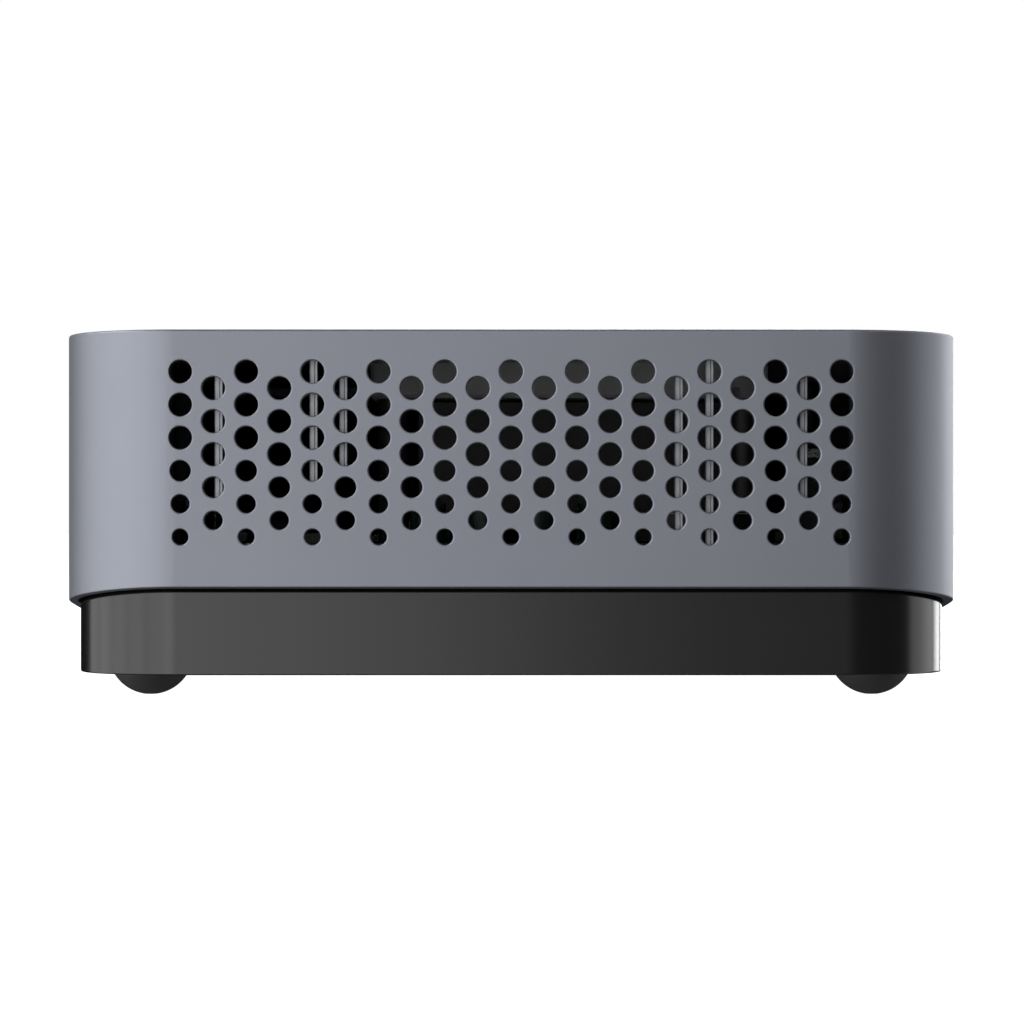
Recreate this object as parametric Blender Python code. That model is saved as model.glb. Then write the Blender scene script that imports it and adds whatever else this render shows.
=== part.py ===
"""A palm-size desktop computer: grey perforated shell, black base, four dome feet and everything inside.

Run it with: blender --background --python part.py
Lengths below are in millimetres; make_object() turns them into metres. +X is the right-hand vent side, -Y is
the front with the power button, +Z is up, and the origin is the middle of the footprint, where the feet rest.
"""

import math

import bmesh
import bpy
from mathutils import Matrix, Vector

MM = 0.001

# Driving dimensions
WIDTH = 128.0  # across the vent sides, X, and front to rear, Y
HEIGHT = 51.5
CORNER_R = 17.0
WALL = 1.4  # shell side wall
FIT = 0.3  # gap between neighbouring pieces
SEAT = 0.2  # gap under a piece that is glued, soldered or screwed down
HALF = WIDTH / 2
INNER = HALF - WALL  # half width of the shell's cavity
CAVITY_TOP = HEIGHT - 2.2
TOP_CHAMFER = 0.35
TOP_PANEL = 107.4  # width of the panel let into the top
TOP_PANEL_R = 9.7

# The shell's lower rim is level on the vent sides and dips in an arc across the front and rear
RIM_SIDE_Z = 15.45
RIM_DIP = 5.3

# Vent holes: columns half a pitch out of step, the holes shrinking towards the bottom rows
VENT_COLUMNS = 21
VENT_PITCH = 4.62
VENT_TOP_Z = 45.6
VENT_HALF_ROWS = 11
VENT_R = 1.6
VENT_SHRINK = 0.165
VENT_SIDES = 6

# Base
BASE_HALF = INNER - FIT
BASE_R = CORNER_R - WALL - FIT
BASE_BOTTOM = 3.1
BASE_TOP = 18.4
BASE_WALL = 1.6
FLOOR_TOP = 5.0
FOOT_AT = 51.7  # feet and closing screws, from the middle both ways
FOOT_BALL_R = 6.15
FOOT_R = 5.45
FOOT_RECESS = 0.9
BOARD_POSTS = (53.0, 40.0)
MOUNT_INSERT_X = 50.0

# Access door under the 2.5 inch drive
DOOR_SIZE = (83.4, 115.4)
DOOR_MOUTH = (78.0, 104.0)
DOOR_RECESS = 1.2
DOOR_SCREWS = ((30.0, -55.0), (-30.0, -55.0))
DOOR_HOOK_X = 36.4

# Ribs behind each vent wall: (y on the right side, lower end); the left comb mirrors them
RIBS = ((-41.0, 27.0), (-27.7, 29.4), (-23.55, 31.8), (23.5, 19.8), (27.8, 19.8), (40.95, 27.0))
RIB_HALF = 0.56
COMB_DEPTH = 1.6
COMB_RAIL_BOTTOM = 47.7
FILTER_SIZE = (99.0, 28.4)
FILTER_MIDDLE_Z = 33.2

# Port panels let into the front and rear walls
PANEL_WIDTH = 92.0
PANEL_BOTTOM = 19.8
FRONT_PANEL_TOP = 31.4
REAR_PANEL_TOP = 47.6
PANEL_FACE = HALF - 0.3
PANEL_BACK = INNER - FIT
FLANGE = 1.0
PORT_FACE = PANEL_FACE - 0.3

# Motherboard
BOARD_Z = 20.0
BOARD_TOP = 21.6
BOARD_HALF = (58.0, 60.6)
BOARD_NOTCH = (44.0, 46.5)
ON_BOARD = BOARD_TOP + SEAT
UNDER_BOARD = BOARD_Z - SEAT

# Port and button centres along X, seen from above
BUTTON_X = 37.5
LIGHT_X = 29.6
AUDIO_X = 20.5
USB_C_X = 7.0
USB_FRONT_X = (-11.0, -29.0)
RESET_X = -41.2
FRONT_PORT_Z = 25.6
DC_X = 39.2
HDMI_X = (24.4, 6.0)
LAN_X = -13.8
USB_REAR_X = -32.2
LOCK_X = -42.4

# Cooling
FAN_CENTRE = (0.0, 8.8)
FAN_HALF = 30.2
FAN_Z = (43.3, 49.0)
FAN_MOUTH_R = 27.0
ROTOR_R = 26.0
ROTOR_BLADES = 11

MATERIALS = {
    "shell_grey": ((0.19, 0.20, 0.225), 0.42, 0.6),
    "rib_grey": ((0.42, 0.44, 0.47), 0.4, 0.8),
    "base_black": ((0.022, 0.022, 0.022), 0.32, 0.0),
    "panel_black": ((0.012, 0.012, 0.013), 0.35, 0.0),
    "rubber": ((0.015, 0.015, 0.015), 0.8, 0.0),
    "button_grey": ((0.25, 0.26, 0.28), 0.35, 0.7),
    "steel": ((0.55, 0.55, 0.56), 0.3, 1.0),
    "port_steel": ((0.62, 0.62, 0.64), 0.25, 1.0),
    "board": ((0.012, 0.05, 0.035), 0.5, 0.0),
    "black_plastic": ((0.02, 0.02, 0.022), 0.5, 0.0),
    "fan_plastic": ((0.045, 0.045, 0.045), 0.5, 0.0),
    "heatsink_black": ((0.02, 0.02, 0.022), 0.45, 0.8),
    "chip": ((0.03, 0.03, 0.035), 0.4, 0.0),
    "clear": ((0.8, 0.85, 0.9), 0.1, 0.0),
    "brass": ((0.6, 0.45, 0.2), 0.35, 1.0),
    "drive_metal": ((0.35, 0.36, 0.38), 0.35, 0.9),
    "flex": ((0.35, 0.18, 0.03), 0.5, 0.0),
    "wire": ((0.02, 0.02, 0.02), 0.5, 0.0),
    "foam": ((0.012, 0.012, 0.012), 0.95, 0.0),
}


# ---------------------------------------------------------------- helpers


def clear_scene():
    for obj in list(bpy.data.objects):
        bpy.data.objects.remove(obj)


def make_materials():
    for name, (colour, roughness, metallic) in MATERIALS.items():
        material = bpy.data.materials.new(name)
        material.use_nodes = True
        shader = material.node_tree.nodes["Principled BSDF"]
        shader.inputs["Base Color"].default_value = (*colour, 1.0)
        shader.inputs["Roughness"].default_value = roughness
        shader.inputs["Metallic"].default_value = metallic


def make_object(shape, name="tool"):
    """Object in metres from a bmesh in millimetres, its faces turned outwards."""
    bmesh.ops.recalc_face_normals(shape, faces=shape.faces)
    bmesh.ops.scale(shape, vec=Vector((MM, MM, MM)), verts=shape.verts)
    mesh = bpy.data.meshes.new(name)
    shape.to_mesh(mesh)
    shape.free()
    obj = bpy.data.objects.new(name, mesh)
    bpy.context.scene.collection.objects.link(obj)
    return obj


def along(axis, a, b, t):
    """Point at (a, b) in the plane across the axis, t along it."""
    return {"X": (t, a, b), "Y": (a, t, b), "Z": (a, b, t)}[axis]


def add_loft(shape, rings, axis="Z"):
    """Closed body through (outline, position along the axis) rings with equal numbers of points."""
    loops = [
        [shape.verts.new(along(axis, a, b, t)) for a, b in outline]
        for outline, t in rings
    ]
    for low, high in zip(loops, loops[1:]):
        for i in range(len(low)):
            j = (i + 1) % len(low)
            shape.faces.new((low[i], low[j], high[j], high[i]))
    shape.faces.new(loops[0])
    shape.faces.new(loops[-1])


def loft(rings, axis="Z"):
    shape = bmesh.new()
    add_loft(shape, rings, axis)
    return make_object(shape)


def prism(outline, start, end, axis="Z"):
    return loft([(outline, start), (outline, end)], axis)


def block(low, high):
    (x0, y0, z0), (x1, y1, z1) = low, high
    return prism([(x0, y0), (x1, y0), (x1, y1), (x0, y1)], z0, z1)


def circle(radius, sides, centre=(0.0, 0.0)):
    turn = 2 * math.pi / sides
    return [
        (centre[0] + radius * math.cos((i + 0.5) * turn), centre[1] + radius * math.sin((i + 0.5) * turn))
        for i in range(sides)
    ]


def rounded(width, depth, radius, steps=3, centre=(0.0, 0.0)):
    """Rectangle outline with round corners, anticlockwise; a full-height radius makes a slot."""
    a, b = width / 2 - radius, depth / 2 - radius
    points = []
    for quarter, (x, y) in enumerate(((a, b), (-a, b), (-a, -b), (a, -b))):
        for step in range(steps + 1):
            angle = (quarter + step / steps) * math.pi / 2
            point = (centre[0] + x + radius * math.cos(angle), centre[1] + y + radius * math.sin(angle))
            if not points or math.dist(point, points[-1]) > 1e-4:
                points.append(point)
    if math.dist(points[0], points[-1]) < 1e-4:
        points.pop()
    return points


def rod(centre, radius, start, end, axis="Z", sides=12):
    return prism(circle(radius, sides, centre), start, end, axis)


def combine(target, tool, operation):
    """Boolean of the tool on the target; the tool is used up."""
    modifier = target.modifiers.new(operation, "BOOLEAN")
    modifier.operation = operation
    modifier.object = tool
    bpy.context.view_layer.objects.active = target
    bpy.ops.object.modifier_apply(modifier=modifier.name)
    bpy.data.objects.remove(tool)


def cut(target, *tools):
    for tool in tools:
        combine(target, tool, "DIFFERENCE")
    return target


def join(target, *tools):
    for tool in tools:
        combine(target, tool, "UNION")
    return target


def name_part(obj, name, material, origin=None, round_angle=None):
    """Names a finished piece, and moves its origin to a joint's axis where one is given."""
    obj.name = name
    obj.data.name = name
    obj.data.materials.clear()
    obj.data.materials.append(bpy.data.materials[material])
    if origin is not None:
        place = Vector(origin) * MM
        obj.data.transform(Matrix.Translation(-place))
        obj.location = place
    if round_angle is not None:
        obj.data.shade_smooth()
        obj.data.set_sharp_from_angle(angle=math.radians(round_angle))
    return obj


def four(x, y):
    return [(x, y), (-x, y), (-x, -y), (x, -y)]


def tube(points, radius, sides=8):
    """Round lead along a smooth line through the points."""
    line = smooth_line(points, 4)
    shape = bmesh.new()
    loops = []
    for i, place in enumerate(line):
        ahead = (line[min(i + 1, len(line) - 1)] - line[max(i - 1, 0)]).normalized()
        across = ahead.cross(Vector((1, -1, 0))).normalized()
        up = across.cross(ahead)
        loops.append([shape.verts.new(place + a * across + b * up) for a, b in circle(radius, sides)])
    for low, high in zip(loops, loops[1:]):
        for i in range(sides):
            j = (i + 1) % sides
            shape.faces.new((low[i], low[j], high[j], high[i]))
    shape.faces.new(loops[0])
    shape.faces.new(loops[-1])
    return make_object(shape)


def smooth_line(points, steps):
    """Catmull-Rom line through the points."""
    knots = [Vector(p) for p in points]
    knots = [2 * knots[0] - knots[1], *knots, 2 * knots[-1] - knots[-2]]
    line = []
    for a, b, c, d in zip(knots, knots[1:], knots[2:], knots[3:]):
        for step in range(steps):
            t = step / steps
            line.append(
                0.5 * (2 * b + (c - a) * t + (2 * a - 5 * b + 4 * c - d) * t**2 + (3 * b - a - 3 * c + d) * t**3)
            )
    return [*line, knots[-2]]


# ---------------------------------------------------------------- casing


def rim_z(x):
    """Height of the shell's lower edge at x across the front."""
    return RIM_SIDE_Z - RIM_DIP * (1 - (x / HALF) ** 2)


def vent_holes():
    """(y, z, radius) of each vent hole in one side."""
    holes = []
    for column in range(VENT_COLUMNS):
        y = (column - (VENT_COLUMNS - 1) / 2) * VENT_PITCH
        for half_row in range(column % 2, VENT_HALF_ROWS, 2):
            shrink = max(0, half_row - 4) // 2
            holes.append((y, VENT_TOP_Z - half_row * VENT_PITCH / 2, VENT_R - VENT_SHRINK * shrink))
    return holes


def make_shell():
    outside = rounded(WIDTH, WIDTH, CORNER_R, 6)
    edge = rounded(WIDTH - 2 * TOP_CHAMFER, WIDTH - 2 * TOP_CHAMFER, CORNER_R - TOP_CHAMFER, 6)
    bottom = RIM_SIDE_Z - RIM_DIP - 1
    shell = loft([(outside, bottom), (outside, HEIGHT - TOP_CHAMFER), (edge, HEIGHT)])
    cut(shell, prism(rounded(2 * INNER, 2 * INNER, CORNER_R - WALL, 6), bottom - 1, CAVITY_TOP))
    reach = HALF + 2
    arc = [(x, rim_z(x)) for x in (reach * i / 8 for i in range(-8, 9))]
    cut(shell, prism([*arc, (reach, 0), (-reach, 0)], -reach, reach, "Y"))
    recess = rounded(TOP_PANEL + 2 * FIT, TOP_PANEL + 2 * FIT, TOP_PANEL_R + FIT)
    cut(shell, prism(recess, HEIGHT - 1.0, HEIGHT + 1))
    for x, y in four(FOOT_AT, FOOT_AT):
        join(shell, rod((x, y), 3.2, BASE_TOP, CAVITY_TOP + 1))
        cut(shell, rod((x, y), 1.6, BASE_TOP - 1, BASE_TOP + 9, sides=8))
    punches = bmesh.new()
    for y, z, radius in vent_holes():
        outline = circle(radius, VENT_SIDES, (y, z))
        add_loft(punches, [(outline, -HALF - 2), (outline, HALF + 2)], "X")
    cut(shell, make_object(punches))
    for side, top in ((-1, FRONT_PANEL_TOP), (1, REAR_PANEL_TOP)):
        cut(shell, prism(panel_outline(top), side * (INNER - 2), side * (HALF + 2), "Y"))
    name_part(shell, "shell", "shell_grey", round_angle=35)


def panel_outline(top, grow=0.0):
    """Outline in XZ of a port panel, or of the wall's window around it."""
    height = top - PANEL_BOTTOM
    radius = min(height / 2, 5.8)
    centre = (0.0, PANEL_BOTTOM + height / 2)
    return rounded(PANEL_WIDTH + 2 * grow, height + 2 * grow, radius + grow, 4, centre)


def make_top_panel():
    outside = rounded(TOP_PANEL, TOP_PANEL, TOP_PANEL_R)
    edge = rounded(TOP_PANEL - 0.4, TOP_PANEL - 0.4, TOP_PANEL_R - 0.2)
    panel = loft([(outside, HEIGHT - 0.8), (outside, HEIGHT - 0.25), (edge, HEIGHT - 0.05)])
    name_part(panel, "top_panel", "shell_grey")


def make_base():
    size = 2 * BASE_HALF
    edge = rounded(size - 0.8, size - 0.8, BASE_R - 0.4, 6)
    outside = rounded(size, size, BASE_R, 6)
    base = loft([(edge, BASE_BOTTOM), (outside, BASE_BOTTOM + 0.4), (outside, BASE_TOP - 0.4)])
    hollow = size - 2 * BASE_WALL
    cut(base, prism(rounded(hollow, hollow, BASE_R - BASE_WALL, 6), FLOOR_TOP, BASE_TOP + 1))
    for x, y in four(FOOT_AT, FOOT_AT):
        join(base, rod((x, y), 4.6, FLOOR_TOP - 1, BASE_TOP - 0.8))
        cut(base, rod((x, y), FOOT_R + FIT, BASE_BOTTOM - 1, BASE_BOTTOM + FOOT_RECESS, sides=16))
        cut(base, rod((x, y), 3.1, BASE_BOTTOM, 14.0), rod((x, y), 1.6, 13.0, BASE_TOP + 1, sides=8))
    for x, y in four(*BOARD_POSTS):
        join(base, rod((x, y), 3.0, FLOOR_TOP - 1, BOARD_Z - FIT))
        cut(base, rod((x, y), 1.3, 12.0, BOARD_Z + 1, sides=8))
    for side in (-1, 1):
        join(base, rod((side * MOUNT_INSERT_X, 0), 4.4, FLOOR_TOP - 1, 11.0))
        cut(base, rod((side * MOUNT_INSERT_X, 0), 2.6, BASE_BOTTOM - 1, 9.4))
    for x, y in DOOR_SCREWS:
        join(base, rod((x, y), 3.0, FLOOR_TOP - 0.5, 9.5))
    mouth = rounded(*DOOR_MOUTH, 3)
    recess = rounded(DOOR_SIZE[0] + 2 * FIT, DOOR_SIZE[1] + 2 * FIT, 5 + FIT)
    cut(base, prism(mouth, BASE_BOTTOM - 1, FLOOR_TOP + 0.2))
    cut(base, prism(recess, BASE_BOTTOM - 1, BASE_BOTTOM + DOOR_RECESS))
    for x, y in DOOR_SCREWS:
        cut(base, rod((x, y), 1.3, BASE_BOTTOM, 8.0, sides=8))
    name_part(base, "base", "base_black", round_angle=35)


def make_drive_door():
    door = prism(rounded(*DOOR_SIZE, 5), BASE_BOTTOM, BASE_BOTTOM + DOOR_RECESS - SEAT)
    inside = rounded(DOOR_MOUTH[0] - 2 * FIT, DOOR_MOUTH[1] - 2 * FIT, 2.7)
    join(door, prism(inside, BASE_BOTTOM + 0.5, FLOOR_TOP - SEAT))
    slots = bmesh.new()
    for row in range(-3, 4):
        for side in (-1, 1):
            slot = rounded(26, 2.4, 1.2, 1, (side * 19, row * 7.0))
            add_loft(slots, [(slot, BASE_BOTTOM - 1), (slot, FLOOR_TOP + 1)])
    cut(door, make_object(slots))
    for x, y in DOOR_SCREWS:
        cut(door, rod((x, y), 1.5, BASE_BOTTOM - 1, FLOOR_TOP, sides=8))
        cut(door, rod((x, y), 2.5, BASE_BOTTOM - 1, BASE_BOTTOM + 0.5, sides=10))
    end = DOOR_MOUTH[1] / 2
    for x in (DOOR_HOOK_X, -DOOR_HOOK_X):
        join(door, block((x - 1.0, end - 6, FLOOR_TOP - 0.5), (x + 1.0, end - 0.8, FLOOR_TOP + 1.4)))
        join(door, block((x - 1.0, end - 1.2, FLOOR_TOP + SEAT), (x + 1.0, end + 2.4, FLOOR_TOP + 1.4)))
    name_part(door, "drive_door", "base_black")


def make_screw(name, x, y, head, shank, head_low, head_high, tip, sides=8):
    """Pan head screw, its cross recess in the head's lower or upper face, away from the tip."""
    rings = [(circle(head, sides, (x, y)), head_low), (circle(head, sides, (x, y)), head_high)]
    screw = loft(rings)
    join(screw, rod((x, y), shank, (head_low + head_high) / 2, tip, sides=6))
    face, way = (head_low, 1) if tip > head_high else (head_high, -1)
    for wide, deep in ((0.5, 0.16), (0.16, 0.5)):
        low = (x - wide * head, y - deep * head, min(face - 0.3 * way, face + 0.5 * way))
        high = (x + wide * head, y + deep * head, max(face - 0.3 * way, face + 0.5 * way))
        cut(screw, block(low, high))
    name_part(screw, name, "steel")


def make_screws():
    for i, (x, y) in enumerate(four(FOOT_AT, FOOT_AT), 1):
        make_screw(f"closing_screw_{i}", x, y, 2.7, 1.25, 12.2, 13.8, 26.0)
    for i, (x, y) in enumerate(DOOR_SCREWS, 1):
        make_screw(f"door_screw_{i}", x, y, 2.2, 1.0, BASE_BOTTOM - 0.5, BASE_BOTTOM + 0.3, 7.4)
    for i, (x, y) in enumerate(four(*BOARD_POSTS), 1):
        make_screw(f"board_screw_{i}", x, y, 2.4, 1.0, BOARD_TOP + SEAT, BOARD_TOP + 1.6, 13.0)


def make_feet():
    """Rubber domes that hide the closing screws: a cut ball with a plug let into the base."""
    touch = math.asin(0.9 / FOOT_BALL_R)
    top = math.acos(1 - BASE_BOTTOM / FOOT_BALL_R)
    steps = 4
    for i, (x, y) in enumerate(four(FOOT_AT, FOOT_AT), 1):
        rings = []
        lift = FOOT_BALL_R * (1 - math.cos(touch))
        for step in range(steps + 1):
            angle = touch + (top - touch) * step / steps
            radius = FOOT_BALL_R * math.sin(angle)
            height = FOOT_BALL_R * (1 - math.cos(angle)) - lift
            rings.append((circle(radius, 14, (x, y)), height))
        rings.append((circle(FOOT_R, 14, (x, y)), BASE_BOTTOM + 0.1))
        rings.append((circle(FOOT_R, 14, (x, y)), BASE_BOTTOM + FOOT_RECESS - SEAT))
        name_part(loft(rings), f"foot_{i}", "rubber", round_angle=60)


def make_mount_inserts():
    for i, x in enumerate((MOUNT_INSERT_X, -MOUNT_INSERT_X), 1):
        insert = rod((x, 0), 2.4, BASE_BOTTOM + 0.2, 9.0)
        cut(insert, rod((x, 0), 1.5, BASE_BOTTOM - 1, 8.0, sides=10))
        name_part(insert, f"mount_insert_{i}", "brass")


def make_vent_comb(name, side):
    """Ribs that stiffen one vent wall, hanging from a rail."""
    outer, inner = side * (INNER - FIT), side * (INNER - FIT - COMB_DEPTH)
    x0, x1 = sorted((outer, inner))
    comb = block((x0, -44, COMB_RAIL_BOTTOM), (x1, 44, CAVITY_TOP - FIT))
    for y, end in RIBS:
        y *= side
        join(comb, block((x0, y - RIB_HALF, end), (x1, y + RIB_HALF, COMB_RAIL_BOTTOM + 0.5)))
    name_part(comb, name, "rib_grey")


def make_dust_filter():
    """Foam sheet behind the left vent wall, where the air comes in."""
    outer = -(INNER - FIT - COMB_DEPTH) + FIT
    sheet = prism(rounded(*FILTER_SIZE, 2, 3, (0, FILTER_MIDDLE_Z)), outer, outer + 1.0, "X")
    name_part(sheet, "dust_filter", "foam")


# ---------------------------------------------------------------- port panels and controls


def make_panel(name, side, top, openings):
    """Port panel with a flange behind the wall; openings are (outline in XZ)."""
    flange = panel_outline(top, 1.4)
    panel = prism(flange, side * (PANEL_BACK - FLANGE), side * PANEL_BACK, "Y")
    face = panel_outline(top, -FIT)
    join(panel, prism(face, side * (PANEL_BACK - 0.5), side * PANEL_FACE, "Y"))
    punches = bmesh.new()
    for outline in openings:
        rings = [(outline, side * (PANEL_BACK - 3)), (outline, side * (HALF + 2))]
        add_loft(punches, rings, "Y")
    cut(panel, make_object(punches))
    name_part(panel, name, "panel_black")


def usb_c_outline(grow=0.0):
    return rounded(8.9 + 2 * grow, 3.2 + 2 * grow, 1.55 + grow, 3, (USB_C_X, 24.6))


def hdmi_outline(x, grow=0.0):
    """D shape: wide above, drawn in at the lower corners."""
    z0, z1 = ON_BOARD + 0.3, ON_BOARD + 5.9
    return [
        (x - 7.3 - grow, z1 + grow),
        (x - 7.3 - grow, z0 + 2.0),
        (x - 5.6 - grow, z0 - grow),
        (x + 5.6 + grow, z0 - grow),
        (x + 7.3 + grow, z0 + 2.0),
        (x + 7.3 + grow, z1 + grow),
    ]


def make_front_panel():
    openings = [
        circle(4.5, 16, (BUTTON_X, FRONT_PORT_Z)),
        circle(1.2, 8, (LIGHT_X, FRONT_PORT_Z)),
        circle(2.9, 12, (AUDIO_X, FRONT_PORT_Z - 0.6)),
        usb_c_outline(FIT),
        circle(0.9, 8, (RESET_X, FRONT_PORT_Z)),
    ]
    openings += [rounded(13.8, 6.4, 0.3, 1, (x, FRONT_PORT_Z)) for x in USB_FRONT_X]
    make_panel("front_panel", -1, FRONT_PANEL_TOP, openings)


def make_rear_panel():
    openings = [
        circle(3.9, 14, (DC_X, ON_BOARD + 6.4)),
        rounded(16.6, 14.1, 0.3, 1, (LAN_X, ON_BOARD + 6.75)),
        rounded(13.8, 15.9, 0.3, 1, (USB_REAR_X, ON_BOARD + 7.85)),
        rounded(3.0, 7.0, 0.8, 2, (LOCK_X, 27.0)),
    ]
    openings += [hdmi_outline(x, FIT) for x in HDMI_X]
    for i in range(-8, 9):
        openings.append(rounded(2.6, 5.4, 1.3, 1, (i * 4.9, 43.6)))
    make_panel("rear_panel", 1, REAR_PANEL_TOP, openings)


def make_controls():
    front = -PANEL_FACE
    x, z = BUTTON_X, FRONT_PORT_Z
    cap = [
        (circle(3.9, 20, (x, z)), front - 0.28),
        (circle(4.2, 20, (x, z)), front),
        (circle(4.2, 20, (x, z)), front + 2.2),
    ]
    button = loft(cap, "Y")
    join(button, rod((x, z), 1.4, front + 2.0, front + 3.4, "Y", 10))
    name_part(button, "power_button", "button_grey", (x, front, z), 40)

    switch = block((x - 3.1, front + 5.0, ON_BOARD), (x + 3.1, front + 9.0, z + 2.6))
    join(switch, rod((x, z), 1.2, front + 4.2, front + 5.5, "Y", 10))
    name_part(switch, "power_switch", "black_plastic")

    pipe = rod((LIGHT_X, z), 0.9, front + 0.1, front + 6.0, "Y")
    join(pipe, block((LIGHT_X - 1.0, front + 4.0, ON_BOARD), (LIGHT_X + 1.0, front + 6.0, z + 0.9)))
    name_part(pipe, "light_pipe", "clear")

    plunger = rod((RESET_X, z), 0.6, front + 2.2, front + 4.3, "Y", 8)
    name_part(plunger, "reset_plunger", "button_grey", (RESET_X, front, z))
    body = block((RESET_X - 2, front + 4.8, ON_BOARD), (RESET_X + 2, front + 7.6, z + 1.6))
    name_part(body, "reset_switch", "black_plastic")


def make_usb_a(name, x, side, levels, depth, low, high):
    """Steel shell with a tongue in each mouth; levels are the mouths' middles."""
    face, back = side * PORT_FACE, side * (PORT_FACE - depth)
    y0, y1 = sorted((face, back))
    port = block((x - 6.6, y0, low), (x + 6.6, y1, high))
    for z in levels:
        cut(port, prism(rounded(12.4, 5.0, 0.3, 1, (x, z)), side * (PORT_FACE - 12), side * (PORT_FACE + 1), "Y"))
        tongue = sorted((side * (PORT_FACE - 1.4), side * (PORT_FACE - 12.5)))
        join(port, block((x - 5.6, tongue[0], z + 0.1), (x + 5.6, tongue[1], z + 1.9)))
    name_part(port, name, "port_steel")


def make_front_ports():
    for i, x in enumerate(USB_FRONT_X, 1):
        make_usb_a(f"usb_a_front_{i}", x, -1, [FRONT_PORT_Z], 14.0, FRONT_PORT_Z - 2.9, FRONT_PORT_Z + 2.9)

    y = -PORT_FACE
    port = prism(usb_c_outline(), y, y + 7.6, "Y")
    cut(port, prism(usb_c_outline(-0.3), y - 1, y + 6.6, "Y"))
    join(port, block((USB_C_X - 3.3, y + 0.9, 24.25), (USB_C_X + 3.3, y + 7.0, 24.95)))
    name_part(port, "usb_c_front", "port_steel")

    z = FRONT_PORT_Z - 0.6
    jack = block((AUDIO_X - 3.4, y + 2.6, ON_BOARD), (AUDIO_X + 3.4, y + 13.0, z + 3.0))
    join(jack, rod((AUDIO_X, z), 2.6, y, y + 3.0, "Y", 14))
    cut(jack, rod((AUDIO_X, z), 1.8, y - 1, y + 11.5, "Y"))
    name_part(jack, "audio_jack", "black_plastic")


def make_rear_ports():
    y = PORT_FACE
    z = ON_BOARD + 6.4
    jack = block((DC_X - 4.5, y - 14, ON_BOARD), (DC_X + 4.5, y - 2.6, z + 4.4))
    join(jack, rod((DC_X, z), 3.6, y - 3, y, "Y", 14))
    cut(jack, rod((DC_X, z), 2.9, y - 10, y + 1, "Y", 14))
    join(jack, rod((DC_X, z), 1.0, y - 11, y - 1.2, "Y", 8))
    name_part(jack, "power_jack", "black_plastic")

    for i, x in enumerate(HDMI_X, 1):
        port = prism(hdmi_outline(x), y - 11.5, y, "Y")
        cut(port, prism(hdmi_outline(x, -0.4), y - 10, y + 1, "Y"))
        z = ON_BOARD + 3.4
        join(port, block((x - 5.0, y - 10.5, z - 0.6), (x + 5.0, y - 1.2, z + 0.6)))
        name_part(port, f"hdmi_{i}", "port_steel")

    port = block((LAN_X - 8, y - 19, ON_BOARD), (LAN_X + 8, y, ON_BOARD + 13.5))
    cut(port, prism(lan_mouth(), y - 14, y + 1, "Y"))
    name_part(port, "lan_jack", "port_steel")

    levels = [ON_BOARD + 3.7, ON_BOARD + 11.9]
    make_usb_a("usb_a_rear", USB_REAR_X, 1, levels, 17.0, ON_BOARD + 0.2, ON_BOARD + 15.5)


def lan_mouth():
    """Network socket opening: a wide mouth over a stepped latch notch."""
    z0, z1, z2, z3 = (ON_BOARD + dz for dz in (1.4, 2.9, 4.4, 12.2))
    half = [(5.9, z3), (5.9, z2), (3.2, z2), (3.2, z1), (2.0, z1), (2.0, z0)]
    return [(LAN_X + dx, z) for dx, z in half] + [(LAN_X - dx, z) for dx, z in reversed(half)]


# ---------------------------------------------------------------- electronics


def make_motherboard():
    """Board with notched corners and its soldered parts."""
    (bx, by), (nx, ny) = BOARD_HALF, BOARD_NOTCH
    corner = [(bx, ny), (nx, ny), (nx, by)]
    outline = corner + [(-x, y) for x, y in reversed(corner)]
    outline += [(-x, -y) for x, y in corner] + [(x, -y) for x, y in reversed(corner)]
    board = prism(outline, BOARD_Z, BOARD_TOP)
    chips = [(-40, -28, 12, 12, 1.2), (-42, -8, 9, 9, 1.0), (40, -26, 10, 10, 1.4), (-41, 12, 8, 12, 1.1)]
    coils = [(33 + 7.5 * (i % 2), -12 + 8.0 * (i // 2), 6.0, 6.0, 3.2) for i in range(6)]
    for x, y, wide, deep, tall in chips + coils:
        low = (x - wide / 2, y - deep / 2, BOARD_TOP - 0.4)
        join(board, block(low, (x + wide / 2, y + deep / 2, BOARD_TOP + tall)))
    for i in range(4):
        join(board, rod((50.0, -12.0 + 8.0 * i), 2.6, BOARD_TOP - 0.4, BOARD_TOP + 5.8, sides=10))
    for x, y in four(*BOARD_POSTS):
        cut(board, rod((x, y), 1.4, BOARD_Z - 1, BOARD_TOP + 1, sides=8))
    name_part(board, "motherboard", "board")


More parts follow.
